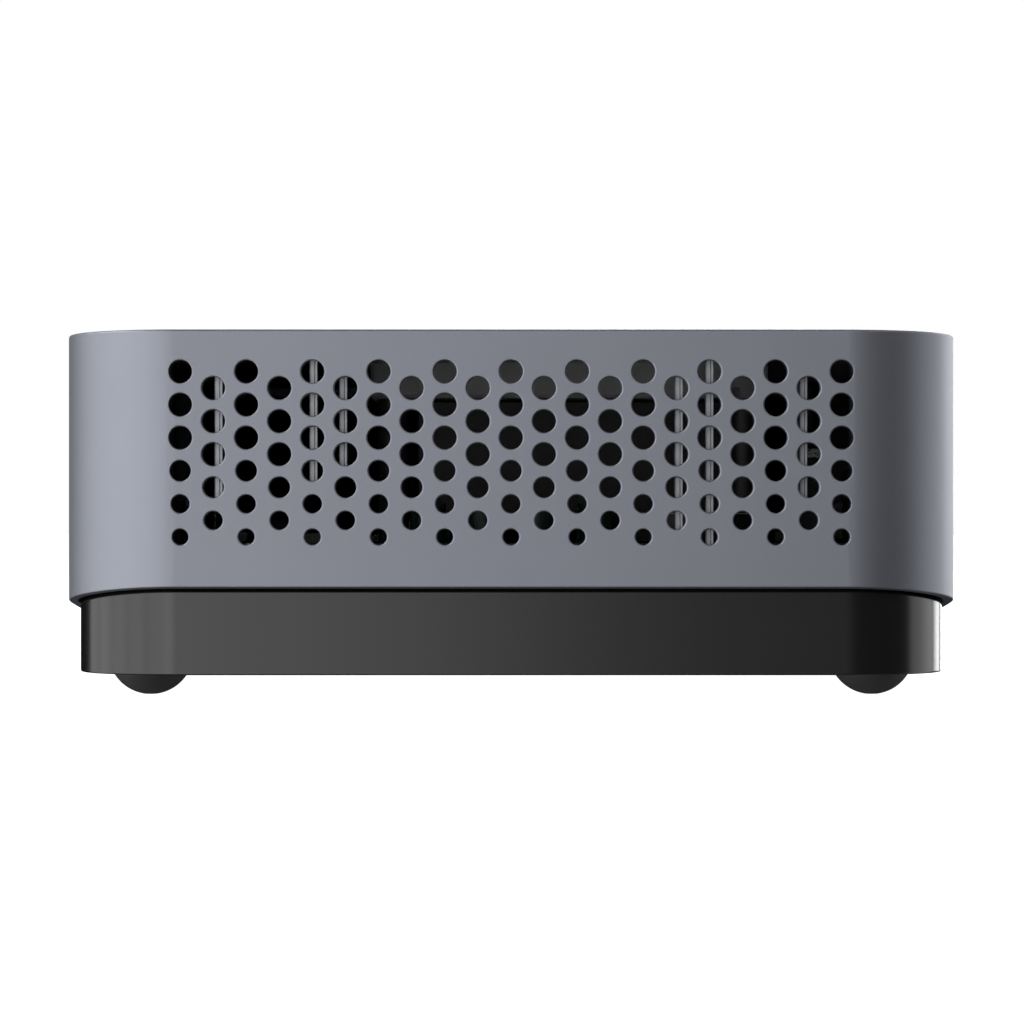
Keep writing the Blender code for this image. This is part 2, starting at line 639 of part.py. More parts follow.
def make_cooling():
    cpu = block((-14, -12, ON_BOARD), (14, 12, ON_BOARD + 0.9))
    join(cpu, block((-6.5, -5, ON_BOARD + 0.5), (6.5, 5, ON_BOARD + 1.4)))
    name_part(cpu, "cpu", "chip")

    low = ON_BOARD + 1.6
    sink = block((-28, -14, low), (28, 32, low + 3.0))
    for i in range(15):
        x = -27.5 + i * 55 / 14
        join(sink, block((x - 0.5, -14, low + 2), (x + 0.5, 32, 42.8)))
    name_part(sink, "heatsink", "heatsink_black")

    cx, cy = FAN_CENTRE
    z0, z1 = FAN_Z
    housing = prism(rounded(2 * FAN_HALF, 2 * FAN_HALF, 4, 3, FAN_CENTRE), z0, z1)
    cut(housing, rod(FAN_CENTRE, FAN_MOUTH_R, z0 - 1, z1 - 0.8, sides=32))
    for sx, sy in four(FAN_HALF - 3.6, FAN_HALF - 3.6):
        join(housing, rod((cx + sx, cy + sy), 2.4, ON_BOARD, z0 + 1, sides=8))
    cut(housing, block((FAN_HALF - 2, cy + 24.3, z0 - 1), (FAN_HALF + 1, cy + 25.6, z0 + 1.6)))
    join(housing, rod(FAN_CENTRE, 3.0, z1 - 2.0, z1 - 0.4))
    name_part(housing, "fan_housing", "fan_plastic")

    top = z1 - 2.4
    rotor = rod(FAN_CENTRE, 11.0, z0 + 0.2, top, sides=24)
    for i in range(ROTOR_BLADES):
        blade = block((9.5, -0.45, z0 + 0.3), (ROTOR_R, 0.45, top - 0.1))
        turn = Matrix.Rotation(2 * math.pi * i / ROTOR_BLADES, 4, "Z")
        blade.data.transform(Matrix.Translation(Vector((cx, cy, 0)) * MM) @ turn)
        join(rotor, blade)
    name_part(rotor, "fan_rotor", "fan_plastic", (cx, cy, z0))


def make_underside_cards():
    """Memory, storage and wireless cards hang under the motherboard."""
    z = UNDER_BOARD
    socket = block((-36, -30, z - 4.0), (36, -23, z))
    cut(socket, block((-34.2, -32, z - 2.6), (34.2, -26, z - 1.2)))
    for side in (-1, 1):
        arm = sorted((side * 34.4, side * 36.0))
        catch = sorted((side * 33.0, side * 36.0))
        join(socket, block((arm[0], -49, z - 3.8), (arm[1], -29, z - 0.2)))
        join(socket, block((catch[0], -48.8, z - 3.8), (catch[1], -46.2, z - 2.7)))
    name_part(socket, "memory_socket", "black_plastic")
    module = block((-33.8, -56.0, z - 2.4), (33.8, -26.5, z - 1.4))
    for i in range(4):
        x = -24.6 + i * 16.4
        join(module, block((x - 5.6, -50, z - 3.4), (x + 5.6, -38, z - 2.0)))
    name_part(module, "memory_module", "board")
    socket = block((-40, 4, z - 3.2), (-34, 26, z))
    cut(socket, block((-36, 3, z - 2.2), (-33, 27, z - 1.0)))
    name_part(socket, "storage_socket", "black_plastic")
    card = block((-35.6, 4.2, z - 2.0), (42.0, 25.8, z - 1.2))
    cut(card, rod((42.0, 15), 2.9, z - 3, z, sides=12))
    for x in (-22, -4, 16):
        join(card, block((x - 6.5, 8, z - 3.2), (x + 6.5, 22, z - 1.6)))
    name_part(card, "storage_card", "board")
    make_screw("storage_screw", 42.0, 15.0, 2.4, 1.2, z - 3.6, z - 2.3, z - 0.4)

    socket = block((16, 30, z - 3.2), (38, 36, z))
    cut(socket, block((15, 34, z - 2.2), (39, 37, z - 1.0)))
    name_part(socket, "wireless_socket", "black_plastic")
    card = block((16.2, 34.4, z - 2.0), (37.8, 62.0 - 4, z - 1.2))
    join(card, block((18.5, 40, z - 3.0), (35.5, 52, z - 1.6)))
    name_part(card, "wireless_card", "board")


def make_battery():
    x, y, z = 41.5, 26.0, ON_BOARD
    holder = rod((x, y), 11.4, z, z + 4.0, sides=16)
    cut(holder, rod((x, y), 10.4, z + 0.8, z + 5, sides=16))
    name_part(holder, "battery_holder", "black_plastic")
    name_part(rod((x, y), 10.0, z + 1.0, z + 4.2, sides=16), "battery", "steel", round_angle=40)


def make_antennas():
    for name, side in (("antenna_left", -1), ("antenna_right", 1)):
        x0, x1 = sorted((side * 24, side * 44))
        plate = block((x0, -56, CAVITY_TOP - 1.0), (x1, -47, CAVITY_TOP - SEAT))
        name_part(plate, name, "flex")


def make_drive():
    drive = prism(rounded(69.85, 100.0, 1.0, 1), FLOOR_TOP + 0.6, FLOOR_TOP + 7.6)
    mouth = block((-24, 46.5, FLOOR_TOP + 1.6), (12, 51, FLOOR_TOP + 6.4))
    name_part(cut(drive, mouth), "storage_drive", "drive_metal")
    plug = block((-23, 47.0, FLOOR_TOP + 2.2), (11, 53.5, FLOOR_TOP + 5.8))
    join(plug, block((-26, 50.6, FLOOR_TOP + 0.4), (14, 56.5, FLOOR_TOP + 7.4)))
    name_part(plug, "drive_connector", "black_plastic")
    z0, z1 = FLOOR_TOP + 4.0, UNDER_BOARD
    ribbon = block((-18, 56.8, z0), (6, 57.1, z1))
    name_part(ribbon, "drive_ribbon", "flex")


def make_fan_lead():
    """Lead from the fan's frame down to its plug on the motherboard."""
    z0 = FAN_Z[0]
    points = [(-27.0, -22.2, z0 + 2), (-31.0, -26.0, 42), (-33.0, -29.0, 34), (-32.0, -33.0, 26), (-30.0, -37.0, 23.8)]
    lead = tube(points, 0.9)
    join(lead, block((-33.0, -40.5, ON_BOARD), (-27.0, -36.6, ON_BOARD + 3.4)))
    name_part(lead, "fan_lead", "wire")


def main():
    clear_scene()
    make_materials()
    make_shell()
    make_top_panel()
    make_base()
    make_drive_door()
    make_feet()
    make_screws()
    make_mount_inserts()
    make_vent_comb("vent_comb_right", 1)
    make_vent_comb("vent_comb_left", -1)
    make_dust_filter()
    make_front_panel()
    make_rear_panel()
    make_controls()
    make_front_ports()
    make_rear_ports()
    make_motherboard()
    make_cooling()
    make_underside_cards()
    make_battery()
    make_antennas()
    make_drive()
    make_fan_lead()


main()
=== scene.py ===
"""The looks of a palm-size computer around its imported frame: shells, ports, materials and studio."""

import math

import bmesh
import bpy
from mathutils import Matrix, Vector


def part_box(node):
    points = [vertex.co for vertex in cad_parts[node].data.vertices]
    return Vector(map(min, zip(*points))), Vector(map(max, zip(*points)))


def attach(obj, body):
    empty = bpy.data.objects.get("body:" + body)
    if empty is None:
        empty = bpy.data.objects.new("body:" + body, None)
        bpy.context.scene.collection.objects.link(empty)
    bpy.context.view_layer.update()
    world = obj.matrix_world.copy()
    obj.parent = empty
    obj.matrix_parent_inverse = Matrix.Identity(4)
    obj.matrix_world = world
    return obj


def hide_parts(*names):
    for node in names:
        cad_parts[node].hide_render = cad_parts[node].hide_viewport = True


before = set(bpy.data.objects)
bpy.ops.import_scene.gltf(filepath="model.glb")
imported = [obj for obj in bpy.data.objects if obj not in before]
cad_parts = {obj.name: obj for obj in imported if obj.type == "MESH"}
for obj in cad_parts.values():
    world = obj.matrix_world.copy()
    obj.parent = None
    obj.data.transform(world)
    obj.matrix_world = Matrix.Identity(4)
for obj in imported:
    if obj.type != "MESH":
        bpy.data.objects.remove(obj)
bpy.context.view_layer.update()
MM = 0.001


def box_mm(node):
    low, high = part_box(node)
    return low / MM, high / MM


def middle(node):
    low, high = box_mm(node)
    return (low + high) / 2


SHELL_LOW, SHELL_HIGH = box_mm("shell")
BASE_LOW, BASE_HIGH = box_mm("base")
HALF = SHELL_HIGH.x
TOP = SHELL_HIGH.z
CORNER_R = 17.0
WALL = 1.4
RIM_DIP = 5.3
RIM_SIDE_Z = SHELL_LOW.z + RIM_DIP
CAVITY_TOP = TOP - 2.2
BASE_HALF = BASE_HIGH.x
BASE_R = CORNER_R - (HALF - BASE_HALF)
BASE_BOTTOM = BASE_LOW.z
BASE_RIM = BASE_HIGH.z - 1.7  # top of the base's wall; its posts stand higher
FLOOR_TOP = BASE_BOTTOM + 1.9
BASE_WALL = 1.6
ROTOR_LOW = box_mm("fan_rotor")[0]
FOOT_AT = middle("foot_1").x
FOOT_BALL_R = 6.15
PANEL_FACE = -box_mm("front_panel")[0].y
PORT_FACE = PANEL_FACE - 0.3
VENT_COLUMNS = 21
VENT_PITCH = 4.62
VENT_TOP_Z = TOP - 5.9
VENT_R = 1.6
VENT_SHRINK = 0.165  # a hole's loss of radius from row to row, below the third row
VENT_MOUTH = 0.23  # rounding of a hole's outer edge
TOP_PANEL_R = 9.7
PANEL_FLANGE = 1.4  # how far a port panel reaches behind the shell, on each side of its face
POST_R = 3.2  # screw posts in the shell's corners
SCREW_BORE_R = 1.6
DOOR_R = 5.0


# ---------------------------------------------------------------- materials


def new_material(name):
    material = bpy.data.materials.new(name)
    material.use_nodes = True
    tree = material.node_tree
    return material, tree, tree.nodes["Principled BSDF"]


def add(tree, kind, **values):
    node = tree.nodes.new(kind)
    for key, value in values.items():
        if key in node.inputs:
            node.inputs[key].default_value = value
        else:
            setattr(node, key, value)
    return node


def surface(
    name, colour, roughness, metallic=0.0, spread=0.08, grain=3000.0, bump=0.05, rough_spread=0.05, **more
):
    """Procedural finish: cloudy colour and roughness variation, with a fine grain in the bump.

    grain is in features per metre; more holds values for the shader's own sockets.
    """
    material, tree, shader = new_material(name)
    shader.inputs["Metallic"].default_value = metallic
    for key, value in more.items():
        shader.inputs[key.replace("_", " ")].default_value = value
    place = add(tree, "ShaderNodeTexCoord")
    cloud = add(tree, "ShaderNodeTexNoise", Scale=90.0, Detail=3.0, Roughness=0.6)
    fine = add(tree, "ShaderNodeTexNoise", Scale=grain, Detail=2.0, Roughness=0.5)
    tree.links.new(place.outputs["Object"], cloud.inputs["Vector"])
    tree.links.new(place.outputs["Object"], fine.inputs["Vector"])
    tint = add(tree, "ShaderNodeMix", data_type="RGBA")
    tint.inputs[6].default_value = (*[c * (1 - spread) for c in colour], 1.0)
    tint.inputs[7].default_value = (*[min(1.0, c * (1 + spread)) for c in colour], 1.0)
    tree.links.new(cloud.outputs["Fac"], tint.inputs[0])
    tree.links.new(tint.outputs[2], shader.inputs["Base Color"])
    rough = add(tree, "ShaderNodeMapRange")
    rough.inputs["To Min"].default_value = max(0.02, roughness - rough_spread)
    rough.inputs["To Max"].default_value = min(1.0, roughness + rough_spread)
    tree.links.new(fine.outputs["Fac"], rough.inputs["Value"])
    tree.links.new(rough.outputs["Result"], shader.inputs["Roughness"])
    bumps = add(tree, "ShaderNodeBump", Strength=bump, Distance=0.00005)
    tree.links.new(fine.outputs["Fac"], bumps.inputs["Height"])
    tree.links.new(bumps.outputs["Normal"], shader.inputs["Normal"])
    return material


def board_surface(name, colour):
    """Solder mask over copper traces: a fine orthogonal pattern, with scattered bright pads."""
    material, tree, shader = new_material(name)
    place = add(tree, "ShaderNodeTexCoord")
    bricks = add(tree, "ShaderNodeTexBrick", Scale=190.0)
    bricks.inputs["Color1"].default_value = (*colour, 1.0)
    bricks.inputs["Color2"].default_value = (*[c * 1.5 for c in colour], 1.0)
    bricks.inputs["Mortar"].default_value = (*[c * 2.6 for c in colour], 1.0)
    bricks.inputs["Mortar Size"].default_value = 0.012
    tree.links.new(place.outputs["Object"], bricks.inputs["Vector"])
    pads = add(tree, "ShaderNodeTexVoronoi", Scale=420.0, feature="F1", Randomness=0.6)
    tree.links.new(place.outputs["Object"], pads.inputs["Vector"])
    spots = add(tree, "ShaderNodeMath", operation="LESS_THAN")
    spots.inputs[1].default_value = 0.16
    tree.links.new(pads.outputs["Distance"], spots.inputs[0])
    mix = add(tree, "ShaderNodeMix", data_type="RGBA")
    mix.inputs[7].default_value = (0.55, 0.5, 0.38, 1.0)
    tree.links.new(spots.outputs[0], mix.inputs[0])
    tree.links.new(bricks.outputs["Color"], mix.inputs[6])
    tree.links.new(mix.outputs[2], shader.inputs["Base Color"])
    tree.links.new(spots.outputs[0], shader.inputs["Metallic"])
    shader.inputs["Roughness"].default_value = 0.38
    bumps = add(tree, "ShaderNodeBump", Strength=0.3, Distance=0.00005)
    tree.links.new(bricks.outputs["Fac"], bumps.inputs["Height"])
    tree.links.new(bumps.outputs["Normal"], shader.inputs["Normal"])
    return material


def brushed(name, colour, roughness, metallic=1.0, stretch=(60.0, 4000.0, 4000.0)):
    """Drawn or brushed metal: noise stretched along X."""
    material, tree, shader = new_material(name)
    shader.inputs["Metallic"].default_value = metallic
    place = add(tree, "ShaderNodeTexCoord")
    scale = add(tree, "ShaderNodeMapping")
    scale.inputs["Scale"].default_value = stretch
    lines = add(tree, "ShaderNodeTexNoise", Scale=1.0, Detail=3.0)
    tree.links.new(place.outputs["Object"], scale.inputs["Vector"])
    tree.links.new(scale.outputs["Vector"], lines.inputs["Vector"])
    tint = add(tree, "ShaderNodeMix", data_type="RGBA")
    tint.inputs[6].default_value = (*[c * 0.85 for c in colour], 1.0)
    tint.inputs[7].default_value = (*[min(1.0, c * 1.1) for c in colour], 1.0)
    tree.links.new(lines.outputs["Fac"], tint.inputs[0])
    tree.links.new(tint.outputs[2], shader.inputs["Base Color"])
    rough = add(tree, "ShaderNodeMapRange")
    rough.inputs["To Min"].default_value = roughness * 0.7
    rough.inputs["To Max"].default_value = roughness * 1.4
    tree.links.new(lines.outputs["Fac"], rough.inputs["Value"])
    tree.links.new(rough.outputs["Result"], shader.inputs["Roughness"])
    bumps = add(tree, "ShaderNodeBump", Strength=0.08, Distance=0.00003)
    tree.links.new(lines.outputs["Fac"], bumps.inputs["Height"])
    tree.links.new(bumps.outputs["Normal"], shader.inputs["Normal"])
    return material


def painted_shade_foam_surface():
    """Open-cell foam, coloured near black as painted shade for the dark inside of the case: deep round
    pores, painted darker at their centres as painted shade.
    """
    material, tree, shader = new_material("open_cell_foam_painted_shade")
    place = add(tree, "ShaderNodeTexCoord")
    cells = add(tree, "ShaderNodeTexVoronoi", Scale=1100.0, feature="F1")
    tree.links.new(place.outputs["Object"], cells.inputs["Vector"])
    tint = add(tree, "ShaderNodeMix", data_type="RGBA")
    # painted shade: near-black colour, darkest at the pore centres, stands in for the shade inside the case
    tint.inputs[6].default_value = (0.0004, 0.0004, 0.0004, 1.0)
    tint.inputs[7].default_value = (0.003, 0.003, 0.0032, 1.0)
    tree.links.new(cells.outputs["Distance"], tint.inputs[0])
    tree.links.new(tint.outputs[2], shader.inputs["Base Color"])
    shader.inputs["Roughness"].default_value = 0.95
    shader.inputs["Specular IOR Level"].default_value = 0.02
    bumps = add(tree, "ShaderNodeBump", Strength=0.8, Distance=0.0003)
    tree.links.new(cells.outputs["Distance"], bumps.inputs["Height"])
    tree.links.new(bumps.outputs["Normal"], shader.inputs["Normal"])
    return material


GREY = surface(
    "anodised_grey", (0.19, 0.199, 0.227), 0.52, 1.0, spread=0.03, grain=5200, bump=0.05, rough_spread=0.03
)
RIB = surface("plain_aluminium", (0.25, 0.26, 0.275), 0.45, 0.3, spread=0.08, grain=2600, bump=0.15)
BASE = surface(
    "base_plastic", (0.004, 0.004, 0.0038), 0.22, 0.0, spread=0.1, grain=2400, bump=0.012, rough_spread=0.02
)
PANEL = surface("panel_plastic", (0.012, 0.012, 0.013), 0.4, 0.0, spread=0.15, grain=3600, bump=0.35)
RUBBER = surface("foot_rubber", (0.009, 0.009, 0.009), 0.66, 0.0, spread=0.2, grain=2200, bump=0.25)
BUTTON = surface("button_metal", (0.27, 0.28, 0.30), 0.33, 0.9, spread=0.04, grain=5200, bump=0.05)
MOULDED = surface("moulded_black", (0.018, 0.018, 0.019), 0.42, 0.0, spread=0.15, grain=2600, bump=0.2)
FAN = surface("fan_plastic", (0.3, 0.3, 0.305), 0.42, 0.0, spread=0.12, grain=2400, bump=0.15)
CHIP = surface("chip_package", (0.03, 0.03, 0.034), 0.45, 0.0, spread=0.15, grain=4200, bump=0.2)
CLEAR = surface("light_guide", (0.75, 0.85, 0.95), 0.15, 0.0, spread=0.02, grain=1500, bump=0.02)
CLEAR.node_tree.nodes["Principled BSDF"].inputs["Emission Color"].default_value = (0.55, 0.8, 1.0, 1.0)
CLEAR.node_tree.nodes["Principled BSDF"].inputs["Emission Strength"].default_value = 0.6
FLEX = surface("amber_film", (0.42, 0.2, 0.035), 0.3, 0.1, spread=0.15, grain=1200, bump=0.1)
WIRE = surface("wire_sleeve", (0.02, 0.02, 0.02), 0.5, 0.0, spread=0.2, grain=1800, bump=0.2)
SINK = brushed("black_anodised", (0.006, 0.006, 0.0065), 0.45, 0.3)
STEEL = brushed("zinc_steel", (0.5, 0.5, 0.52), 0.3)
NICKEL = surface("nickel_shell", (0.55, 0.55, 0.57), 0.28, 1.0, spread=0.06, grain=2600, bump=0.04)
DARK_NICKEL = surface("black_nickel", (0.04, 0.04, 0.042), 0.38, 1.0, spread=0.08, grain=2600, bump=0.04)
DRIVE = brushed("drive_case", (0.38, 0.39, 0.41), 0.36)
BRASS = brushed("turned_brass", (0.62, 0.45, 0.2), 0.3)
GOLD = brushed("gold_contacts", (0.85, 0.62, 0.26), 0.22)
BOARD = board_surface("solder_mask", (0.006, 0.022, 0.016))
# near-black foam: its colour is painted shade for the inside of the case behind the vents
FOAM_PAINTED_SHADE = painted_shade_foam_surface()
USB_BLUE = surface("tongue_blue", (0.01, 0.07, 0.35), 0.35, 0.0, spread=0.1, grain=2600, bump=0.1)
LED_GREEN = surface("led_green", (0.1, 0.5, 0.12), 0.25, 0.0, spread=0.05, grain=1500, bump=0.05)
LED_AMBER = surface("led_amber", (0.6, 0.3, 0.05), 0.25, 0.0, spread=0.05, grain=1500, bump=0.05)


# ---------------------------------------------------------------- shapes, in millimetres


def along(axis, a, b, t):
    return {"X": (t, a, b), "Y": (a, t, b), "Z": (a, b, t)}[axis]


def add_rings(shape, rings, close=True):
    """Skins rings of 3-D points, with a face at each end."""
    loops = [[shape.verts.new(p) for p in ring] for ring in rings]
    for low, high in zip(loops, loops[1:]):
        for i in range(len(low)):
            j = (i + 1) % len(low)
            shape.faces.new((low[i], low[j], high[j], high[i]))
    if close:
        shape.faces.new(loops[0])
        shape.faces.new(loops[-1])


def raw(shape):
    bmesh.ops.recalc_face_normals(shape, faces=shape.faces)
    bmesh.ops.scale(shape, vec=Vector((MM, MM, MM)), verts=shape.verts)
    mesh = bpy.data.meshes.new("shape")
    shape.to_mesh(mesh)
    shape.free()
    obj = bpy.data.objects.new("shape", mesh)
    bpy.context.scene.collection.objects.link(obj)
    return obj


def rings_solid(rings):
    shape = bmesh.new()
    add_rings(shape, rings)
    return raw(shape)


def loft(rings, axis="Z"):
    return rings_solid([[along(axis, a, b, t) for a, b in outline] for outline, t in rings])


def prism(outline, start, end, axis="Z"):
    return loft([(outline, start), (outline, end)], axis)


def circle(radius, sides, centre=(0.0, 0.0)):
    turn = 2 * math.pi / sides
    x, y = centre
    return [(x + radius * math.cos(i * turn), y + radius * math.sin(i * turn)) for i in range(sides)]


def rounded(width, depth, radius, steps=6, centre=(0.0, 0.0)):
    a, b = width / 2 - radius, depth / 2 - radius
    points = []
    for quarter, (x, y) in enumerate(((a, b), (-a, b), (-a, -b), (a, -b))):
        for step in range(steps + 1):
            angle = (quarter + step / steps) * math.pi / 2
            point = (centre[0] + x + radius * math.cos(angle), centre[1] + y + radius * math.sin(angle))
            if not points or math.dist(point, points[-1]) > 1e-4:
                points.append(point)
    if math.dist(points[0], points[-1]) < 1e-4:
        points.pop()
    return points


def block(low, high):
    (x0, y0, z0), (x1, y1, z1) = low, high
    x0, x1 = sorted((x0, x1))
    y0, y1 = sorted((y0, y1))
    z0, z1 = sorted((z0, z1))
    return prism([(x0, y0), (x1, y0), (x1, y1), (x0, y1)], z0, z1)


def blocks(pairs):
    """Several boxes in one mesh, clear of each other."""
    shape = bmesh.new()
    for low, high in pairs:
        (x0, x1), (y0, y1), (z0, z1) = [sorted(pair) for pair in zip(low, high)]
        outline = [(x0, y0), (x1, y0), (x1, y1), (x0, y1)]
        add_rings(shape, [[(*p, z0) for p in outline], [(*p, z1) for p in outline]])
    return raw(shape)


def rod(centre, radius, start, end, axis="Z", sides=32):
    return prism(circle(radius, sides, centre), start, end, axis)


def combine(target, tool, operation, solver="EXACT"):
    modifier = target.modifiers.new(operation, "BOOLEAN")
    modifier.operation = operation
    modifier.solver = solver
    modifier.object = tool
    view = bpy.context.evaluated_depsgraph_get()
    mesh = bpy.data.meshes.new_from_object(target.evaluated_get(view))
    target.modifiers.clear()
    target.data = mesh
    bpy.data.objects.remove(tool)


def cut(target, *tools, solver="EXACT"):
    for tool in tools:
        combine(target, tool, "DIFFERENCE", solver)
    return target


def join(target, *tools):
    for tool in tools:
        combine(target, tool, "UNION")
    return target


def piece(obj, name, material, stands_for=(), bevel=0.0, sharp=40, body="case", segments=2):
    """Finishes a piece: name, finish, rounded edges, shading, and the CAD body it rides on."""
    obj.name = name
    obj.data.name = name
    obj.data.materials.clear()
    obj.data.materials.append(material)
    obj.data.shade_smooth()
    obj.data.set_sharp_from_angle(angle=math.radians(sharp))
    if bevel:
        edges = obj.modifiers.new("edges", "BEVEL")
        edges.width = bevel * MM
        edges.segments = segments
        edges.limit_method = "ANGLE"
        edges.angle_limit = math.radians(40)
        edges.harden_normals = False
    normals = obj.modifiers.new("normals", "WEIGHTED_NORMAL")
    normals.weight = 100
    normals.keep_sharp = not bevel
    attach(obj, body)
    if stands_for:
        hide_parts(*stands_for)
    return obj


def refine(node, material, bevel=0.0):
    """Keeps a CAD node's shape, with a finer finish and softened edges."""
    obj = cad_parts[node]
    obj.data.materials.clear()
    obj.data.materials.append(material)
    if bevel:
        weld = obj.modifiers.new("weld", "WELD")
        weld.merge_threshold = 0.000001
        edges = obj.modifiers.new("edges", "BEVEL")
        edges.width = bevel * MM
        edges.segments = 2
        edges.limit_method = "ANGLE"
        edges.angle_limit = math.radians(40)
        normals = obj.modifiers.new("normals", "WEIGHTED_NORMAL")
        normals.weight = 100
    return obj


# ---------------------------------------------------------------- casing


def outline(half, radius, corner=24, side=32):
    """Rounded square; the front and rear sides are divided, so the shell's rim can curve."""
    flat = half - radius
    points = []
    for quarter, (x, y) in enumerate(((flat, flat), (-flat, flat), (-flat, -flat), (flat, -flat))):
        for step in range(corner + 1):
            angle = (quarter + step / corner) * math.pi / 2
            points.append((x + radius * math.cos(angle), y + radius * math.sin(angle)))
        if quarter in (0, 2):
            way = -1 if quarter == 0 else 1
            for step in range(1, side):
                points.append((way * (-flat + 2 * flat * step / side), -way * half))
    return points


def rim_z(x):
    return RIM_SIDE_Z - RIM_DIP * (1 - (x / HALF) ** 2)


def shell_ring(inset, lift=None, level=None):
    """Ring of the shell at an inset, at a height above the rim or at a level."""
    points = outline(HALF - inset, CORNER_R - inset)
    return [(x, y, level if lift is None else rim_z(x) + lift) for x, y in points]


def vent_holes():
    """Staggered rows of holes, as (y, z, radius)."""
    holes = []
    for column in range(VENT_COLUMNS):
        y = (column - VENT_COLUMNS // 2) * VENT_PITCH
        for half_row in range(column % 2, 11, 2):
            shrink = max(0, half_row - 4) // 2
            holes.append((y, VENT_TOP_Z - half_row * VENT_PITCH / 2, VENT_R - VENT_SHRINK * shrink))
    return holes


def panel_outline(node, grow=0.0, steps=10):
    """Outline in XZ of a port panel's raised face."""
    low, high = box_mm(node)
    z0, z1 = low.z + PANEL_FLANGE, high.z - PANEL_FLANGE
    width = (high.x - low.x) - 2 * PANEL_FLANGE
    radius = min((z1 - z0) / 2, 5.8)
    return rounded(width + 2 * grow, z1 - z0 + 2 * grow, radius + grow, steps, (0.0, (z0 + z1) / 2))


def make_shell():
    """Shell with a dipping rim, rounded edges, vent holes, panel openings and screw posts."""
    edge, lip = 0.35, 0.22
    rings = [shell_ring(WALL, level=CAVITY_TOP), shell_ring(WALL, lift=lip)]
    for step in range(1, 4):
        turn = step / 3 * math.pi / 2
        rings.append(shell_ring(WALL - lip + lip * math.cos(turn), lift=lip - lip * math.sin(turn)))
    for step in range(4):
        turn = step / 3 * math.pi / 2
        rings.append(shell_ring(lip - lip * math.sin(turn), lift=lip - lip * math.cos(turn)))
    for step in range(4):
        turn = step / 3 * math.pi / 2
        rings.append(shell_ring(edge - edge * math.cos(turn), level=TOP - edge + edge * math.sin(turn)))
    rings.append([(x, y, TOP) for x, y in outline(54.2, 10.2)])
    rings.append([(x, y, TOP - 0.2) for x, y in outline(54.0, 10.0)])
    rings.append([(x, y, TOP - 1.0) for x, y in outline(54.0, 10.0)])
    shell = rings_solid(rings)
    steps = [(HALF + 1, VENT_MOUTH)]
    for step in range(5):
        turn = step / 4 * math.pi / 2
        depth = VENT_MOUTH - VENT_MOUTH * math.cos(turn)
        steps.append((HALF - depth, VENT_MOUTH - VENT_MOUTH * math.sin(turn)))
    steps.append((HALF - WALL - 1, 0.0))
    punches = bmesh.new()
    for side in (-1, 1):
        for y, z, radius in vent_holes():
            rings = []
            for x, grow in steps:
                rings.append([(side * x, a, b) for a, b in circle(radius + grow, 36, (y, z))])
            add_rings(punches, rings)
    cut(shell, raw(punches))
    for node, side in (("front_panel", -1), ("rear_panel", 1)):
        cut(shell, prism(panel_outline(node, 0.3), side * (HALF - WALL - 2), side * (HALF + 2), "Y"))
    for x in (-FOOT_AT, FOOT_AT):
        for y in (-FOOT_AT, FOOT_AT):
            join(shell, rod((x, y), POST_R, BASE_RIM + 0.4, CAVITY_TOP + 0.5))
            cut(shell, rod((x, y), SCREW_BORE_R, BASE_RIM, BASE_RIM + 9))
    piece(shell, "shell_fine", GREY, ("shell",), sharp=60)


def make_top_panel():
    low, high = box_mm("top_panel")
    half = high.x
    profile = [(0.0, low.z), (0.0, high.z - 0.2), (0.06, high.z - 0.06), (0.2, high.z)]
    rings = [[(x, y, z) for x, y in outline(half - inset, TOP_PANEL_R - inset)] for inset, z in profile]
    piece(rings_solid(rings), "top_panel_fine", GREY, ("top_panel",), sharp=60)


def base_ring(inset, drop):
    """Ring round the base at an inset, at a distance below the shell's rim."""
    points = outline(BASE_HALF - inset, BASE_R - inset)
    return [(x, y, rim_z(x * HALF / BASE_HALF) - drop) for x, y in points]


